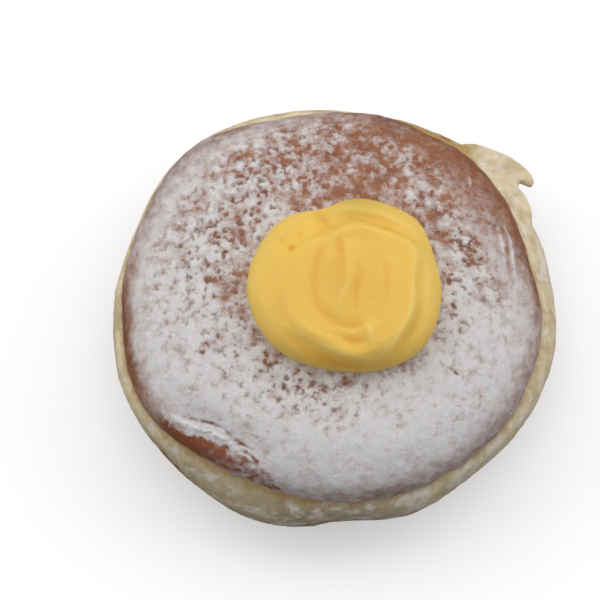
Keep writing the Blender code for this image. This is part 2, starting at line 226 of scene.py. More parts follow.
# Fine lines of the piping: relief, width, tint (below 0 towards orange, a painted shade in grooves and
# under the lip; above 0 towards cream, a painted highlight on ridges), then the corners of the line in
# millimetres about the custard's centre.
CUSTARD_LINES = (
    (-0.35 * MM, 0.55 * MM, -0.5, ((14.6, 8.6), (13.0, 9.5), (9.5, 10.9), (6.4, 12.0), (3.8, 12.9),
                                   (1.2, 13.4))),
    (-0.12 * MM, 0.80 * MM, -0.15, ((1.2, 13.3), (-2.4, 11.6), (-6.0, 9.6), (-10.7, 6.9))),
    (-0.08 * MM, 0.50 * MM, -0.22, ((2.3, 0.5), (2.5, -3.5), (2.1, -7.3))),
    (0.05 * MM, 0.80 * MM, 0.25, ((13.2, 8.3), (9.4, 9.4), (6.2, 10.6), (2.4, 11.6), (-2.7, 9.8),
                                  (-7.3, 7.6))),
    (-0.30 * MM, 0.70 * MM, -0.5, ((-3.4, 12.6), (-4.9, 16.2), (-5.6, 19.5))),
    (0.00 * MM, 1.00 * MM, 0.5, ((-3.8, 14.6), (-1.7, 15.7), (0.3, 16.1), (3.4, 15.6), (6.0, 14.4))),
    (0.12 * MM, 0.55 * MM, 0.7, ((-11.9, -9.7), (-9.4, -11.4), (-6.9, -12.8), (-4.4, -14.1), (-1.9, -15.2),
                                 (2.2, -16.4), (6.2, -16.6), (9.2, -14.5), (11.7, -11.0), (13.8, -6.7),
                                 (14.2, -1.3), (14.5, 3.0), (14.2, 6.6))),
    (-0.12 * MM, 1.00 * MM, -0.6, ((-13.4, -10.3), (-10.9, -12.4), (-8.3, -14.2), (-5.3, -15.8),
                                   (-1.8, -17.2), (1.4, -18.0), (5.0, -18.2), (8.4, -17.2))),
    (0.00 * MM, 0.90 * MM, -0.6, ((-5.3, -15.6), (-1.8, -16.9), (1.2, -17.4), (4.9, -17.5), (7.9, -16.7),
                                  (10.5, -14.6))),
    (0.25 * MM, 1.20 * MM, 0.25, ((15.8, -5.6), (16.6, -1.4), (16.9, 2.8), (16.4, 6.8))),
    (-0.20 * MM, 0.90 * MM, -0.7, ((10.9, -14.4), (12.6, -12.2), (14.2, -9.6), (15.3, -6.9))),
    (-0.10 * MM, 0.90 * MM, -0.35, ((-2.4, 8.4), (-4.4, 6.2), (-5.9, 2.4), (-6.1, -1.9), (-5.3, -5.5),
                                   (-3.4, -8.3), (-0.4, -9.9), (2.4, -10.2), (4.4, -9.0))),
    (-0.08 * MM, 0.80 * MM, -0.3, ((4.9, 6.1), (7.0, 4.4), (8.6, 1.8), (9.0, -1.4), (8.5, -4.6),
                                   (6.6, -7.6))),
    (0.05 * MM, 0.60 * MM, 0.3, ((4.5, 7.2), (6.2, 5.7), (7.8, 3.5))),
    (0.10 * MM, 0.60 * MM, 0.6, ((1.1, 4.6), (1.4, 1.8), (0.7, -1.4), (-0.2, -4.2), (-1.5, -7.4))),
    (-0.05 * MM, 0.70 * MM, -0.15, ((2.9, 2.8), (3.2, -0.4), (2.6, -4.2))),
    (-0.15 * MM, 1.00 * MM, -0.35, ((-1.0, 8.6), (-0.8, 6.7), (-0.4, 4.5))),
    (0.12 * MM, 0.50 * MM, 0.6, ((-0.2, -11.4), (1.8, -11.6), (3.6, -10.8))),
    (-0.10 * MM, 0.50 * MM, -0.4, ((-0.6, -12.6), (1.6, -13.1), (4.0, -12.8))),
    (0.15 * MM, 0.90 * MM, 0.7, ((4.4, -9.3), (5.2, -11.4), (5.6, -13.9))),
)
# Small pits where air came out: place about the custard's centre in millimetres, width and depth.
CUSTARD_PITS = (
    ((-10.7, 6.8), 0.90 * MM, 0.50 * MM),
    ((-12.8, 8.9), 0.70 * MM, 0.28 * MM),
    ((-8.9, 9.9), 0.90 * MM, 0.26 * MM),
)
# Painted orange shade for each metre of depth, here of the pits.
PIT_SHADE = 1300
# Broad tints of the custard: place about its centre in millimetres, width and tint.
CUSTARD_BLUSHES = (
    ((-0.5, 0.5), 5.5 * MM, -0.45),
    ((3.0, -3.0), 5.0 * MM, -0.15),
    ((3.0, -12.5), 4.0 * MM, -0.20),
    ((1.0, 13.9), 3.5 * MM, -0.20),
)
# The flank's tint: where it starts, where it is full and the tint.
CUSTARD_FLANK = (14.5 * MM, 17.5 * MM, 0.30)
# Painted shade: the lobe at the rear is darkened and dulled in full, and the middle in part. Each entry is
# a place about the centre, a width and a share.
CUSTARD_SHADED_PLACES = (
    ((3.0, 18.0), 5.5 * MM, 1.0),
    ((-1.5, -0.5), 5.5 * MM, 0.28),
)
# Painted shade and highlight: hollows of the custard are tinted more orange as painted shade, and its
# ridges lighter as painted highlight. The numbers are the rounds of smoothing that they are measured
# against, the tint for each metre of depth, and the most tint.
HOLLOW_ROUNDS = 120
HOLLOW_SHADE_TINT = 1300
HOLLOW_SHADE_MOST = 0.40
# Lines that the nozzle dragged: size across them, size along them and height.
DRAG_LINES = (0.9 * MM, 9.0 * MM, 0.06 * MM)
DRAG_OCTAVES = 2

# Colours, linear.
CRUST_DARK = (0.215, 0.075, 0.034)
CRUST_BROWN = (0.300, 0.113, 0.052)
CRUST_TAN = (0.380, 0.178, 0.088)
# Crust in a speck, darkened by painted shade from the sugar around it.
SPECK_SHADE_BROWN = (0.205, 0.090, 0.055)
STREAK_BROWN = (0.280, 0.086, 0.034)
UNDERSIDE_BROWN = (0.340, 0.130, 0.035)
GOLDEN_CRUST = (0.480, 0.300, 0.090)
DOUGH_OLIVE = (0.640, 0.525, 0.310)
DOUGH_CREAM = (0.830, 0.705, 0.485)
# Colour of the painted shade on the band's front.
BAND_SHADE_COLOUR = (0.420, 0.345, 0.215)
FLOUR_WHITE = (0.830, 0.760, 0.680)
SUGAR_WHITE = (0.755, 0.738, 0.742)
THICK_SUGAR = (0.860, 0.845, 0.845)
LUMP_WHITE = (0.690, 0.680, 0.690)
CUSTARD_YELLOW = (0.915, 0.590, 0.112)
# Orange serves both broad tints of the custard's own colour and painted shade in its creases, pits and
# hollows. Cream serves lighter tints and painted highlight on its ridges.
CUSTARD_ORANGE = (0.860, 0.400, 0.035)
CUSTARD_CREAM = (0.940, 0.680, 0.200)
# Darker, duller yellow of the painted shade on the custard.
CUSTARD_SHADE_YELLOW = (0.740, 0.520, 0.115)

# Random patterns of the materials: size, detail and roughness. They lie around 0.5.
SUGAR_GRAIN = (0.55 * MM, 3.0, 0.6)
SUGAR_CLOTS = (1.9 * MM, 3.0, 0.6)
CRUST_PATCHES = (5.0 * MM, 4.0, 0.6)
DOUGH_PATCHES = (4.0 * MM, 4.0)
FLOUR_GRAIN = (1.2 * MM, 4.0, 0.65)
DUST_GRAIN = (0.25 * MM, 1.0)
CUSTARD_SHEEN_SIZE = 3.0 * MM
CUSTARD_GRAIN_SIZE = 0.8 * MM
LUMP_GRAIN_SIZE = 0.4 * MM
# How far the fine grain and the clots swing the amount of sugar, and the most that sugar covers.
GRAIN_SWING = 0.50
CLOT_SWING = 0.85
SUGAR_MOST = 0.97
# Where a pattern or a painted number starts and ends to show, and in some its least and most share.
BROWN_PATCHES = (0.3, 0.5)
TAN_PATCHES = (0.5, 0.75)
SPECK_TINTED = (0.0, 0.6)
CREAM_PATCHES = (0.3, 0.65)
FLOUR_SHOWS = (0.45, 0.90, 0.0, 0.9)
CREAM_TINTED = (0.0, 1.0, 0.0, 0.9)
ORANGE_TINTED = (0.0, -1.1, 0.0, 0.9)
GOLDEN_MOST = 0.9
# Soft light and dark patches: size and amount.
CRUST_MOTTLE = (1.2 * MM, 0.6)
BAND_MOTTLE = (2.0 * MM, 0.25)
UNDERSIDE_MOTTLE = (3.0 * MM, 0.8)
SUGAR_MOTTLE = (1.5 * MM, 0.16)
CUSTARD_MOTTLE = (5.0 * MM, 0.12)
LUMP_MOTTLE = (0.6 * MM, 0.3)
MOTTLE_DETAIL = 3.0
# Sheen: a roughness, or the pattern's ends and the roughness at each.
BAND_ROUGHNESS = 0.75
CRUST_ROUGHNESS = 0.42
SUGAR_ROUGHNESS = 0.92
CUSTARD_SHEEN = (0.3, 0.7, 0.50, 0.62)
LUMP_SHEEN = (0.3, 0.7, 0.8, 0.95)
DOUGH_SPECULAR = 0.35
CUSTARD_SPECULAR = 0.3
LUMP_SPECULAR = 0.2
# Finest relief: depth and strength, the share of the grain on bare dough, and the height of the dust.
DOUGH_BUMP = (0.10 * MM, 0.8)
CUSTARD_BUMP = (0.05 * MM, 0.4)
BARE_GRAIN = 0.35
DUST_HEIGHT = 0.5
# Light that scatters inside the custard: its share, its reach in red, green and blue, and its depth.
CUSTARD_SUBSURFACE = 0.5
CUSTARD_SCATTER = (1.0, 0.6, 0.2)
CUSTARD_SCATTER_DEPTH = 2.0 * MM

# Camera, light and floor.
CAMERA_AIM = Vector((-7.455 * MM, 1.421 * MM, 18.706 * MM))
CAMERA_ELEVATION = 72.0
CAMERA_DISTANCE = 0.60
CAMERA_LENS = 169.92
CAMERA_SENSOR = 36.0
CAMERA_CLIP_START = 0.01
FLOOR_SIZE = 8.0
FLOOR_BOUNCE = (0.16, 0.16, 0.16)
FLOOR_SEEN = (0.75, 0.75, 0.75)
FLOOR_GLOW = 0.40
FLOOR_ROUGHNESS = 0.9
SKY_LIGHT = 0.385
SKY_SEEN = 0.93
# Soft boxes: name, place, size along x and y, power in watts.
SOFT_BOXES = (
    ("soft box above and behind", (0.0, 0.30, 0.62), (1.10, 0.50), 2.3),
    ("soft box on the left", (-0.60, 0.12, 0.34), (0.50, 0.50), 1.1),
    ("soft box on the right", (0.60, 0.12, 0.34), (0.50, 0.50), 1.1),
)


# --- measures -------------------------------------------------------------------------------------


def smoothstep(low, high, value):
    """0 below low, 1 above high, and a smooth rise between them."""
    share = min(max((value - low) / (high - low), 0.0), 1.0)
    return share * share * (3.0 - 2.0 * share)


def mix(first, second, share):
    return first + (second - first) * share


def bell(gap, spread):
    return math.exp(-((gap / spread) ** 2))


def turn_between(angle, centre):
    """Smallest turn from centre to angle, in degrees."""
    return (angle - centre + 180.0) % 360.0 - 180.0


def bump(angle, centre, spread, height):
    return height * bell(turn_between(angle, centre), spread)


def swell(angle, bumps):
    return sum(bump(angle, *each) for each in bumps)


def waver(place, size, height=1.0, octaves=3):
    """Smooth random number around 0, up to about this height, that changes over about this size."""
    return height * noise.fractal(place / size, OCTAVE_FALL, OCTAVE_STEP, octaves)


def wavers(place, patterns):
    return sum(waver(place, *each) for each in patterns)


class SmoothLine:
    """A mark along a smooth line through corners that are given in millimetres.

    Each corner's handles are a sixth of the way between its neighbours, so the line has no kinks.
    """

    def __init__(self, origin, width, corners):
        ends = [origin + Vector(corner) * MM for corner in corners]
        ends = [2.0 * ends[0] - ends[1]] + ends + [2.0 * ends[-1] - ends[-2]]
        self.points = [ends[1]]
        for before, start, end, after in zip(ends, ends[1:], ends[2:], ends[3:]):
            leave = start + (end - before) / 6.0
            arrive = end - (after - start) / 6.0
            self.points += interpolate_bezier(start, leave, arrive, end, MARK_STEPS + 1)[1:]
        self.width = width
        reach = MARK_REACH * width
        self.low = [min(point[axis] for point in self.points) - reach for axis in (0, 1)]
        self.high = [max(point[axis] for point in self.points) + reach for axis in (0, 1)]

    def strength(self, spot):
        """1 on the line, falling to 0 beside it and at its two ends."""
        if not (self.low[0] < spot.x < self.high[0] and self.low[1] < spot.y < self.high[1]):
            return 0.0
        nearest = math.inf
        share = 0.0
        for step, (start, end) in enumerate(zip(self.points, self.points[1:])):
            along = min(max(intersect_point_line(spot, start, end)[1], 0.0), 1.0)
            distance = (spot - start.lerp(end, along)).length
            if distance < nearest:
                nearest = distance
                share = (step + along) / (len(self.points) - 1)
        fade = math.sqrt(math.sin(math.pi * mix(MARK_END, 1.0 - MARK_END, share)))
        return bell(nearest, self.width) * fade


def smooth_lines(origin, marks):
    """Each mark's relief and colour change, with its smooth line about the origin."""
    return [
        (relief, change, SmoothLine(origin, width, corners))
        for relief, width, change, corners in marks
    ]


# --- modelling steps ------------------------------------------------------------------------------


def take_in_hand(piece):
    """Makes this piece the only one that is selected, and the active one."""
    bpy.ops.object.select_all(action="DESELECT")
    piece.select_set(True)
    bpy.context.view_layer.objects.active = piece


def copy_of_node(node, name):
    """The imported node's mesh, merged and made of quads where it can be, as a piece of its own."""
    piece = bpy.data.objects.new(name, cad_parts[node].data.copy())
    bpy.context.scene.collection.objects.link(piece)
    take_in_hand(piece)
    bpy.ops.object.mode_set(mode="EDIT")
    bpy.ops.mesh.select_all(action="SELECT")
    bpy.ops.mesh.remove_doubles(threshold=MERGE_DISTANCE)
    bpy.ops.mesh.tris_convert_to_quads()
    bpy.ops.object.mode_set(mode="OBJECT")
    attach(piece, "root")
    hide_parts(node)
    return piece


def finish_with(piece, kind, **settings):
    """Adds one modifier to the piece and applies it."""
    take_in_hand(piece)
    step = piece.modifiers.new(kind.lower(), kind)
    for setting, value in settings.items():
        setattr(step, setting, value)
    bpy.ops.object.modifier_apply(modifier=step.name)


def even_out(piece, voxel, rounds):
    """Rounds the solid's flat faces and gives the piece an even, fine mesh."""
    finish_with(piece, "SUBSURF", levels=1, render_levels=1)
    finish_with(piece, "REMESH", mode="VOXEL", voxel_size=voxel)
    finish_with(piece, "SMOOTH", factor=SMOOTHING, iterations=rounds)


def thin_out(piece, is_unseen):
    """Keeps only a share of the faces that nobody sees."""
    take_in_hand(piece)
    bpy.ops.object.mode_set(mode="EDIT")
    bpy.ops.mesh.select_mode(type="FACE")
    bpy.ops.mesh.select_all(action="DESELECT")
    bpy.ops.object.mode_set(mode="OBJECT")
    for face in piece.data.polygons:
        face.select = is_unseen(face.center)
    bpy.ops.object.mode_set(mode="EDIT")
    bpy.ops.mesh.decimate(ratio=UNSEEN_SHARE_KEPT)
    bpy.ops.object.mode_set(mode="OBJECT")


def paint(mesh, name, values):
    """Stores one number for each vertex under this name, for the materials to read."""
    layer = mesh.attributes.new(name, "FLOAT", "POINT")
    layer.data.foreach_set("value", values)


def push_out(mesh, shifts):
    """Moves each vertex along its normal by its own shift."""
    normals = [vertex.normal.copy() for vertex in mesh.vertices]
    for vertex, normal, shift in zip(mesh.vertices, normals, shifts):
        vertex.co += normal * shift


# --- dough ----------------------------------------------------------------------------------------


def about_axis(place):
    """The radius and the direction of the place about the bun's axis."""
    spot = place.xy - AXIS
    return spot.length, math.degrees(math.atan2(spot.y, spot.x))


def is_unseen_dough(place):
    if place.z < UNSEEN_LEVEL:
        return True
    return place.z > CRUST_EDGE and (place.xy - CUSTARD_CENTRE).length < UNSEEN_UNDER_CUSTARD


def crust_gap(place, angle):
    """Height above the crust's lower edge; it is below 0 on the band."""
    return place.z - CRUST_EDGE - swell(angle, EDGE_WAVES) + waver(place, *EDGE_RAGGEDNESS)


def streak_share(place, radius, angle):
    """1 on the bare streak along the crust's lower left edge."""
    whole, gone = STREAK_ENDS
    turn = turn_between(angle, STREAK_DIRECTION)
    turn /= STREAK_SPREADS[turn > 0.0]
    if abs(turn) > gone:
        return 0.0
    top = STREAK_RADIUS + STREAK_RISE * turn * turn
    if turn < 0.0:
        top = min(top, STREAK_TOP_MOST)
    top += waver(place, *STREAK_RAGGEDNESS)
    return smoothstep(top, top + STREAK_EDGE, radius) * smoothstep(gone, whole, abs(turn))


def veil_share(radius, angle):
    """1 where the sugar is a thin, even veil."""
    return smoothstep(VEIL_START, VEIL_END, radius + bump(angle, *VEIL_REACH))


def patched(radius, angle, patches):
    """Sum of what the patches change here."""
    return sum(
        bump(angle, direction, spread, change) * bell(radius - ring, width)
        for direction, spread, ring, width, change in patches
    )


def sugar_on(place, radius, angle):
    """How much sugar lies here, before the specks, the marks and the streak."""
    near, spread, change = SUGAR_NEAR_CUSTARD
    amount = SUGAR_MEAN + patched(radius, angle, SUGAR_PATCHES) + change * bell(radius - near, spread)
    start, end, change = SUGAR_RIM
    amount += change * smoothstep(start, end, radius)
    uneven = 1.0 - VEIL_EVENNESS * veil_share(radius, angle)
    return amount + uneven * wavers(place, SUGAR_PATCHINESS)


def specks_on(place, radius, angle):
    """How much of a brown speck lies here."""
    speckled = max(SPECK_MEAN + patched(radius, angle, SPECK_PATCHES), 0.0)
    speckled *= 1.0 - VEIL_EVENNESS * veil_share(radius, angle)
    pattern = waver(place + SPECK_SHIFT, SPECK_SIZE, octaves=SPECK_OCTAVES)
    return speckled * smoothstep(*SPECK_EDGES, pattern)


def dust_on_streak(place, angle):
    """Thin sugar that lies on the bare streak."""
    start, end = STREAK_DUST_START
    onwards = smoothstep(start, end, angle % 360.0)
    return STREAK_DUST * onwards * (1.0 + waver(place, *STREAK_DUST_PATCHES))


def along_band(place):
    """The place as the band's patterns see it, so that they run along the band."""
    return Vector((place.x, place.y, place.z * BAND_FLATTENING))


def flour_on(place, angle):
    """How floury the band is here."""
    return FLOUR_MEAN + swell(angle, FLOUR_BUMPS) + waver(along_band(place), *FLOUR_PATCHINESS)


def golden_share(place, gap, angle):
    """1 on the golden edge of the band, right under the crust."""
    reach = (GOLDEN_REACH + swell(angle, GOLDEN_STRETCHES)) * (1.0 + waver(place, *GOLDEN_PATCHINESS))
    reach = max(reach, GOLDEN_LEAST)
    inner = smoothstep(-reach, -GOLDEN_WHOLE * reach, gap)
    return inner * smoothstep(GOLDEN_BLUR, 0.0, gap) * smoothstep(0.0, GOLDEN_FULL, reach)


def underside_share(place, angle):
    """1 on the brown underside, which climbs over the band in two places."""
    rise = swell(angle, UNDERSIDE_RISES)
    size, reach = UNDERSIDE_RAGGEDNESS
    level = UNDERSIDE_LEVEL + rise + waver(place, size, reach + RISE_RAGGEDNESS * rise)
    blur = UNDERSIDE_BLUR + RISE_BLUR * rise
    return smoothstep(level + blur, level - blur, place.z)


def dough_relief(place, angle, crust):
    """How far the bare dough swells here, on the crust or on the band."""
    wrinkles = mix(wavers(along_band(place), BAND_WRINKLES), wavers(place, CRUST_WRINKLES), crust)
    rear = bump(angle, *REAR_SWELL) * bell(place.z - REAR_LEVEL, REAR_DEPTH)
    return wrinkles + mix(1.0, -1.0, crust) * rear


def finish_of_dough(place, marks):
    """How far the dough is pushed out here, and what is painted on it."""
    radius, angle = about_axis(place)
    gap = crust_gap(place, angle)
    crust = smoothstep(-EDGE_BLUR, EDGE_BLUR, gap)
    streak = streak_share(place, radius, angle) * crust
    speck = specks_on(place, radius, angle)
    sugar = sugar_on(place, radius, angle)
    # Painted shade: crust seen through a speck in dense sugar is darkened, as if shaded by the sugar.
    speck_shade = speck * smoothstep(*SPECK_DARK_SUGAR, sugar) * crust
    sugar = mix(sugar - SPECK_DEPTH * speck, dust_on_streak(place, angle), streak)
    shift = dough_relief(place, angle, crust)
    if crust > 0.0:
        broken = 1.0 + waver(place, *MARK_BREAKS, MARK_BREAK_OCTAVES)
        for relief, change, line in marks:
            strength = max(line.strength(place.xy) * broken, 0.0)
            sugar += change * strength
            shift += relief * strength
    cover = smoothstep(SUGAR_BARE, SUGAR_FULL, sugar) * crust
    shift = 0.0 if place.z < UNSEEN_LEVEL else shift + SUGAR_THICKNESS * cover
    ridge = marks[0][2]
    thick = ridge.strength(place.xy) * crust
    under_custard = (place.xy - CUSTARD_CENTRE).length < LUMPS_CLEAR and place.z > CRUST_EDGE
    return shift, {
        "crust": crust,
        "sugar": sugar,
        "veil": veil_share(radius, angle),
        "speck": speck_shade,
        "streak": streak,
        "golden": golden_share(place, gap, angle),
        "flour": flour_on(place, angle),
        # Painted shade on the band's front, stored under the name deep.
        "deep": swell(angle, BAND_FRONT_SHADE),
        "underside": underside_share(place, angle),
        "lumps": 0.0 if under_custard else smoothstep(*LUMPY_COVER, cover) + RIDGE_LUMPS * thick,
        "thick": thick,
    }


def detail_dough(piece):
    """Gives the dough its relief and paints where crust, sugar, flour and brown underside are."""
    marks = smooth_lines(AXIS, SUGAR_MARKS)
    shifts, paints = zip(*(finish_of_dough(vertex.co, marks) for vertex in piece.data.vertices))
    push_out(piece.data, shifts)
    for name in paints[0]:
        paint(piece.data, name, [each[name] for each in paints])


def make_dough():
    piece = copy_of_node("dough", "doughnut_dough")
    even_out(piece, *DOUGH_MESH)
    thin_out(piece, is_unseen_dough)
    detail_dough(piece)
    piece.data.shade_smooth()
    return piece


# --- custard --------------------------------------------------------------------------------------


def drag_lines(spot):
    """Height of the faint lines that the nozzle left, along the turns of the piping."""
    across, along, height = DRAG_LINES
    place = Vector((spot.length / across, spot.x / along, spot.y / along))
    return waver(place, 1.0, height, DRAG_OCTAVES)


def hollows(piece):
    """How deep each vertex lies below the smoothed surface, in metres; it is below 0 on ridges."""
    smoothed = piece.copy()
    smoothed.data = piece.data.copy()
    bpy.context.scene.collection.objects.link(smoothed)
    finish_with(smoothed, "SMOOTH", factor=SMOOTHING, iterations=HOLLOW_ROUNDS)
    pairs = zip(smoothed.data.vertices, piece.data.vertices)
    depths = [(after.co - before.co).dot(before.normal) for after, before in pairs]
    bpy.data.meshes.remove(smoothed.data)
    return depths


def blotted(spot, blots):
    """Sum of what the round blots, given in millimetres, change at this place."""
    return sum(change * bell((spot - Vector(place) * MM).length, width) for place, width, change in blots)


def blush(spot):
    """Broad tint of the custard at this place about its centre."""
    start, end, flank = CUSTARD_FLANK
    return flank * smoothstep(start, end, spot.length) + blotted(spot, CUSTARD_BLUSHES)


def detail_custard(piece):
    """Cuts the fine lines of the piping into the custard and settles its foot onto the crust. Paints shade
    into its grooves, pits, hollows and rear lobe, and light onto its ridges.
    """
    lines = smooth_lines(CUSTARD_CENTRE, CUSTARD_LINES)
    tints = []
    dull = []
    facing_up = [vertex.normal.z for vertex in piece.data.vertices]
    for vertex, up in zip(piece.data.vertices, facing_up):
        level = vertex.co.z
        spot = vertex.co.xy - CUSTARD_CENTRE
        upper = smoothstep(*CUSTARD_RELIEF, level) * smoothstep(0.0, CUSTARD_FACING_UP, up)
        pits = blotted(spot, CUSTARD_PITS)
        lift = drag_lines(spot) - pits
        # Painted shade: the deeper a pit, the more orange it is tinted.
        tint = -PIT_SHADE * pits
        for relief, change, line in lines:
            strength = line.strength(vertex.co.xy)
            lift += relief * strength
            tint += change * strength
        tints.append((tint * smoothstep(*CUSTARD_TINTED, level), upper, blush(spot)))
        # Painted shade on the rear lobe and, more lightly, the middle, stored under the name dull.
        dull.append(blotted(spot, CUSTARD_SHADED_PLACES))
        vertex.co.z += lift * upper
        vertex.co.z -= CUSTARD_SETTLING * smoothstep(*CUSTARD_FOOT, level)
    # Painted shade in the hollows and painted highlight on the ridges, by their depth below the smoothed
    # surface.
    shaded = [min(max(HOLLOW_SHADE_TINT * depth, -HOLLOW_SHADE_MOST), HOLLOW_SHADE_MOST) for depth in hollows(piece)]
    tinted = [fine + broad - upper * hollow for (fine, upper, broad), hollow in zip(tints, shaded)]
    paint(piece.data, "tint", tinted)
    paint(piece.data, "dull", dull)


def make_custard():
    piece = copy_of_node("custard", "piped_custard")
    even_out(piece, *CUSTARD_MESH)
    detail_custard(piece)
    piece.data.shade_smooth()
    return piece


# --- node boards ----------------------------------------------------------------------------------


class Board:
    """Adds nodes to one tree. An input is given as a plain value, or as the socket that feeds it."""

    def __init__(self, tree):
        self.tree = tree

    def node(self, kind, values=None, **settings):
        made = self.tree.nodes.new(kind)
        for setting, value in settings.items():
            setattr(made, setting, value)
        for socket, value in (values or {}).items():
            if isinstance(value, bpy.types.NodeSocket):
                self.tree.links.new(value, made.inputs[socket])
            else:
                made.inputs[socket].default_value = value
        return made

    def math(self, operation, first, second):
        return self.node("ShaderNodeMath", {0: first, 1: second}, operation=operation).outputs[0]

    def scaled(self, vector, factor):
        values = {0: vector, "Scale": factor}
        return self.node("ShaderNodeVectorMath", values, operation="SCALE").outputs[0]

    def swing(self, pattern, amount):
        """A pattern around 0.5 as a shift around 0."""
        return self.math("MULTIPLY", self.math("SUBTRACT", pattern, 0.5), amount)

    def ease(self, value, low, high, start=0.0, end=1.0):
        """A smooth step from start to end as the value goes from low to high."""
        steps = {"Value": value, "From Min": low, "From Max": high, "To Min": start, "To Max": end}
        return self.node("ShaderNodeMapRange", steps, interpolation_type="SMOOTHSTEP").outputs["Result"]

    def between(self, share, first, second):
        """A number between two numbers."""
        numbers = {0: share, 2: first, 3: second}
        return self.node("ShaderNodeMix", numbers, data_type="FLOAT").outputs[0]

    def blend(self, share, first, second):
        """A colour between two colours."""
        colours = {0: share, 6: first, 7: second}
        return self.node("ShaderNodeMix", colours, data_type="RGBA").outputs[2]

    def painted(self, name):
        """A painted number, as materials read it."""
        return self.node("ShaderNodeAttribute", attribute_name=name).outputs["Fac"]

    def stored(self, name):
        """A painted number, as geometry nodes read it."""
        found = self.node("GeometryNodeInputNamedAttribute", {"Name": name}, data_type="FLOAT")
        return found.outputs["Attribute"]

    def place(self):
        return self.node("ShaderNodeTexCoord").outputs["Object"]

    def grain(self, size, detail=2.0, roughness=0.5):
        """Random pattern around 0.5 that changes over about this size in metres."""
        values = {"Vector": self.place(), "Scale": 1.0 / size, "Detail": detail, "Roughness": roughness}
        return self.node("ShaderNodeTexNoise", values).outputs["Fac"]

    def bumped(self, height, depth, strength):
        values = {"Height": height, "Distance": depth, "Strength": strength}
        return self.node("ShaderNodeBump", values).outputs["Normal"]


def solid(colour):
    return (*colour, 1.0)


def new_material(name):
    material = bpy.data.materials.new(name)
    material.use_nodes = True
    material.node_tree.nodes.clear()
    return material, Board(material.node_tree)


def close_material(board, shader):
    output = board.node("ShaderNodeOutputMaterial")
    board.tree.links.new(shader.outputs[0], output.inputs["Surface"])


def mottle_group():
    """Shared effect: shifts a colour lighter and darker in soft patches of a given size."""
    group = bpy.data.node_groups.new("mottle", "ShaderNodeTree")
    group.interface.new_socket("Color", in_out="INPUT", socket_type="NodeSocketColor")
    group.interface.new_socket("Patches per metre", in_out="INPUT", socket_type="NodeSocketFloat")
    group.interface.new_socket("Amount", in_out="INPUT", socket_type="NodeSocketFloat")
    group.interface.new_socket("Color", in_out="OUTPUT", socket_type="NodeSocketColor")
    board = Board(group)
    given = board.node("NodeGroupInput").outputs
    values = {"Vector": board.place(), "Scale": given["Patches per metre"], "Detail": MOTTLE_DETAIL}
    pattern = board.node("ShaderNodeTexNoise", values).outputs["Fac"]
    lightness = board.math("ADD", board.swing(pattern, given["Amount"]), 1.0)
    values = {"Color": given["Color"], "Value": lightness}
    toned = board.node("ShaderNodeHueSaturation", values).outputs["Color"]
    board.node("NodeGroupOutput", {"Color": toned})
    return group


def mottled(board, colour, size, amount):
    values = {"Color": colour, "Patches per metre": 1.0 / size, "Amount": amount}
    return board.node("ShaderNodeGroup", values, node_tree=MOTTLE).outputs["Color"]


# --- materials ------------------------------------------------------------------------------------


def sugar_cover(board, fine):
    """How far the icing sugar hides the dough: painted amounts, broken up by clots and fine grain."""
    uneven = board.ease(board.painted("veil"), 0.0, 1.0, 1.0, 1.0 - VEIL_EVENNESS)
    clots = board.swing(board.grain(*SUGAR_CLOTS), CLOT_SWING)
    shift = board.math("ADD", board.swing(fine, GRAIN_SWING), clots)
    amount = board.math("ADD", board.painted("sugar"), board.math("MULTIPLY", shift, uneven))
    cover = board.ease(amount, SUGAR_BARE, SUGAR_FULL, 0.0, SUGAR_MOST)
    return board.math("MULTIPLY", cover, board.painted("crust"))


def crust_colour(board):
    patches = board.grain(*CRUST_PATCHES)
    brown = board.blend(board.ease(patches, *BROWN_PATCHES), solid(CRUST_DARK), solid(CRUST_BROWN))
    brown = board.blend(board.ease(patches, *TAN_PATCHES), brown, solid(CRUST_TAN))
    # Partly crust colour, partly painted shade: darker crust in the specks of dense sugar.
    brown = board.blend(board.ease(board.painted("speck"), *SPECK_TINTED), brown, solid(SPECK_SHADE_BROWN))
    brown = board.blend(board.painted("streak"), brown, solid(STREAK_BROWN))
    return mottled(board, brown, *CRUST_MOTTLE)


def band_colour(board):
    patches = board.grain(*DOUGH_PATCHES)
    pale = board.blend(board.ease(patches, *CREAM_PATCHES), solid(DOUGH_OLIVE), solid(DOUGH_CREAM))
    # Painted shade: the band darkened towards its front.
    pale = board.blend(board.painted("deep"), pale, solid(BAND_SHADE_COLOUR))
    smear = board.math("ADD", board.painted("flour"), board.swing(board.grain(*FLOUR_GRAIN), 1.0))
    pale = board.blend(board.ease(smear, *FLOUR_SHOWS), pale, solid(FLOUR_WHITE))
    return mottled(board, pale, *BAND_MOTTLE)


def sugar_colour(board):
    sugar = board.blend(board.painted("thick"), solid(SUGAR_WHITE), solid(THICK_SUGAR))
    return mottled(board, sugar, *SUGAR_MOTTLE)


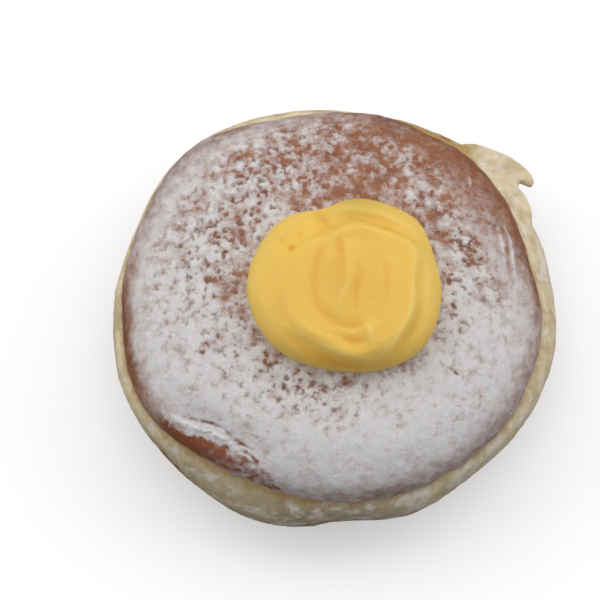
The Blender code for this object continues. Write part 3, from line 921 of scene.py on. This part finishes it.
def dough_material():
    """Fried crust, pale band, floury smears, brown underside and icing sugar in one skin."""
    material, board = new_material("sugared dough")
    crust = board.painted("crust")
    fine = board.grain(*SUGAR_GRAIN)
    cover = sugar_cover(board, fine)

    skin = board.blend(crust, band_colour(board), crust_colour(board))
    golden = board.math("MULTIPLY", board.painted("golden"), GOLDEN_MOST)
    skin = board.blend(golden, skin, solid(GOLDEN_CRUST))
    underside = mottled(board, solid(UNDERSIDE_BROWN), *UNDERSIDE_MOTTLE)
    skin = board.blend(board.painted("underside"), skin, underside)
    skin = board.blend(cover, skin, sugar_colour(board))

    dull = board.between(crust, BAND_ROUGHNESS, CRUST_ROUGHNESS)
    dull = board.between(cover, dull, SUGAR_ROUGHNESS)
    relief = board.math("MULTIPLY", fine, board.ease(cover, 0.0, 1.0, BARE_GRAIN, 1.0))
    dust = board.math("MULTIPLY", board.grain(*DUST_GRAIN), DUST_HEIGHT)
    values = {
        "Base Color": skin,
        "Roughness": dull,
        "Normal": board.bumped(board.math("ADD", relief, dust), *DOUGH_BUMP),
        "Specular IOR Level": DOUGH_SPECULAR,
    }
    close_material(board, board.node("ShaderNodeBsdfPrincipled", values))
    return material


def custard_material():
    """Satin yellow cream. The orange in its creases, pits and hollows is painted shade, and the lighter
    cream on its ridges is painted highlight.
    """
    material, board = new_material("piped custard")
    tint = board.painted("tint")
    cream = board.blend(board.ease(tint, *CREAM_TINTED), solid(CUSTARD_YELLOW), solid(CUSTARD_CREAM))
    cream = board.blend(board.ease(tint, *ORANGE_TINTED), cream, solid(CUSTARD_ORANGE))
    # Painted shade: the rear lobe and the middle turned darker and duller.
    cream = board.blend(board.painted("dull"), cream, solid(CUSTARD_SHADE_YELLOW))
    values = {
        "Base Color": mottled(board, cream, *CUSTARD_MOTTLE),
        "Roughness": board.ease(board.grain(CUSTARD_SHEEN_SIZE), *CUSTARD_SHEEN),
        "Normal": board.bumped(board.grain(CUSTARD_GRAIN_SIZE), *CUSTARD_BUMP),
        "Specular IOR Level": CUSTARD_SPECULAR,
        "Subsurface Weight": CUSTARD_SUBSURFACE,
        "Subsurface Radius": CUSTARD_SCATTER,
        "Subsurface Scale": CUSTARD_SCATTER_DEPTH,
    }
    close_material(board, board.node("ShaderNodeBsdfPrincipled", values))
    return material


def sugar_material():
    """Small lumps of icing sugar."""
    material, board = new_material("icing sugar")
    values = {
        "Base Color": mottled(board, solid(LUMP_WHITE), *LUMP_MOTTLE),
        "Roughness": board.ease(board.grain(LUMP_GRAIN_SIZE), *LUMP_SHEEN),
        "Specular IOR Level": LUMP_SPECULAR,
    }
    close_material(board, board.node("ShaderNodeBsdfPrincipled", values))
    return material


def floor_material():
    """Pale and plain; what it throws back onto the doughnut is less than what the camera sees."""
    material, board = new_material("pale table")
    seen = board.node("ShaderNodeLightPath").outputs["Is Camera Ray"]
    values = {
        "Base Color": board.blend(seen, solid(FLOOR_BOUNCE), solid(FLOOR_SEEN)),
        "Roughness": FLOOR_ROUGHNESS,
        "Specular IOR Level": 0.0,
        "Emission Color": solid((1.0, 1.0, 1.0)),
        "Emission Strength": board.math("MULTIPLY", seen, FLOOR_GLOW),
    }
    close_material(board, board.node("ShaderNodeBsdfPrincipled", values))
    return material


# --- sugar lumps ----------------------------------------------------------------------------------


def dented(board, lumps):
    """The lumps with their vertices shifted at random, so that no two are alike."""
    scale = LUMP_DENTS_PER_RADIUS / LUMP_RADIUS
    pattern = board.node("ShaderNodeTexNoise", {"Scale": scale}).outputs["Color"]
    middle = (0.5, 0.5, 0.5)
    shift = board.node("ShaderNodeVectorMath", {0: pattern, 1: middle}, operation="SUBTRACT").outputs[0]
    values = {"Geometry": lumps, "Offset": board.scaled(shift, LUMP_DENTS * LUMP_RADIUS)}
    return board.node("GeometryNodeSetPosition", values).outputs["Geometry"]


def lump_nodes(material):
    """Strews small uneven lumps over a mesh where its paint called lumps asks for them."""
    tree = bpy.data.node_groups.new("strewn lumps", "GeometryNodeTree")
    tree.interface.new_socket("Geometry", in_out="INPUT", socket_type="NodeSocketGeometry")
    tree.interface.new_socket("Geometry", in_out="OUTPUT", socket_type="NodeSocketGeometry")
    board = Board(tree)
    given = board.node("NodeGroupInput").outputs["Geometry"]
    density = board.math("MULTIPLY", board.stored("lumps"), LUMPS_PER_SQUARE_MM / (MM * MM))
    values = {"Mesh": given, "Density": density, "Seed": LUMP_PLACE_SEED}
    strewn = board.node("GeometryNodeDistributePointsOnFaces", values, distribute_method="RANDOM")
    values = {"Radius": LUMP_RADIUS, "Subdivisions": 1}
    lump = board.node("GeometryNodeMeshIcoSphere", values).outputs["Mesh"]
    least, most = LUMP_STRETCHES
    values = {0: least, 1: most, "Seed": LUMP_STRETCH_SEED}
    stretch = board.node("FunctionNodeRandomValue", values, data_type="FLOAT_VECTOR").outputs["Value"]
    larger = board.math("ADD", board.math("MULTIPLY", board.stored("thick"), RIDGE_LUMPS), 1.0)
    values = {
        "Points": strewn.outputs["Points"],
        "Instance": lump,
        "Rotation": strewn.outputs["Rotation"],
        "Scale": board.scaled(stretch, larger),
    }
    lumps = board.node("GeometryNodeInstanceOnPoints", values).outputs["Instances"]
    lumps = board.node("GeometryNodeRealizeInstances", {"Geometry": lumps}).outputs["Geometry"]
    values = {"Geometry": dented(board, lumps), "Material": material}
    lumps = board.node("GeometryNodeSetMaterial", values).outputs["Geometry"]
    board.node("NodeGroupOutput", {"Geometry": lumps})
    return tree


def make_lumps(dough, material):
    piece = bpy.data.objects.new("sugar_lumps", dough.data.copy())
    bpy.context.scene.collection.objects.link(piece)
    finish_with(piece, "NODES", node_group=lump_nodes(material))
    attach(piece, "root")
    return piece


# --- stage ----------------------------------------------------------------------------------------


def dress(piece, material):
    piece.data.materials.clear()
    piece.data.materials.append(material)


def lay_floor():
    """Lays the pale table top that the doughnut rests on."""
    bpy.ops.mesh.primitive_plane_add(size=FLOOR_SIZE, location=(0.0, 0.0, 0.0))
    floor = bpy.context.object
    floor.name = "table"
    dress(floor, floor_material())


def hang_lights():
    """Hangs the soft boxes, all turned to the doughnut."""
    for name, place, size, power in SOFT_BOXES:
        light = bpy.data.lights.new(name, "AREA")
        light.shape = "RECTANGLE"
        light.size, light.size_y = size
        light.energy = power
        lamp = bpy.data.objects.new(name, light)
        lamp.location = place
        lamp.rotation_euler = (-Vector(place)).to_track_quat("-Z", "Y").to_euler()
        bpy.context.scene.collection.objects.link(lamp)


def light_sky():
    """A plain pale surround, which lights the doughnut more softly than it shows."""
    world = bpy.data.worlds.new("pale surround")
    bpy.context.scene.world = world
    world.use_nodes = True
    world.node_tree.nodes.clear()
    board = Board(world.node_tree)
    seen = board.node("ShaderNodeLightPath").outputs["Is Camera Ray"]
    values = {"Color": solid((1.0, 1.0, 1.0)), "Strength": board.between(seen, SKY_LIGHT, SKY_SEEN)}
    surround = board.node("ShaderNodeBackground", values)
    board.node("ShaderNodeOutputWorld", {"Surface": surround.outputs[0]})


def place_camera():
    """Puts the camera in front of the doughnut and above it."""
    camera = bpy.data.cameras.new("camera")
    camera.lens = CAMERA_LENS
    camera.sensor_width = CAMERA_SENSOR
    camera.clip_start = CAMERA_CLIP_START
    stand = bpy.data.objects.new("camera", camera)
    tilt = math.radians(90.0 - CAMERA_ELEVATION)
    stand.location = CAMERA_AIM + CAMERA_DISTANCE * Vector((0.0, -math.sin(tilt), math.cos(tilt)))
    stand.rotation_euler = (tilt, 0.0, 0.0)
    bpy.context.scene.collection.objects.link(stand)
    bpy.context.scene.camera = stand


def set_colours():
    view = bpy.context.scene.view_settings
    view.view_transform = "Standard"
    view.look = "None"


MOTTLE = mottle_group()
dough = make_dough()
dress(dough, dough_material())
custard = make_custard()
dress(custard, custard_material())
make_lumps(dough, sugar_material())
lay_floor()
hang_lights()
light_sky()
place_camera()
set_colours()
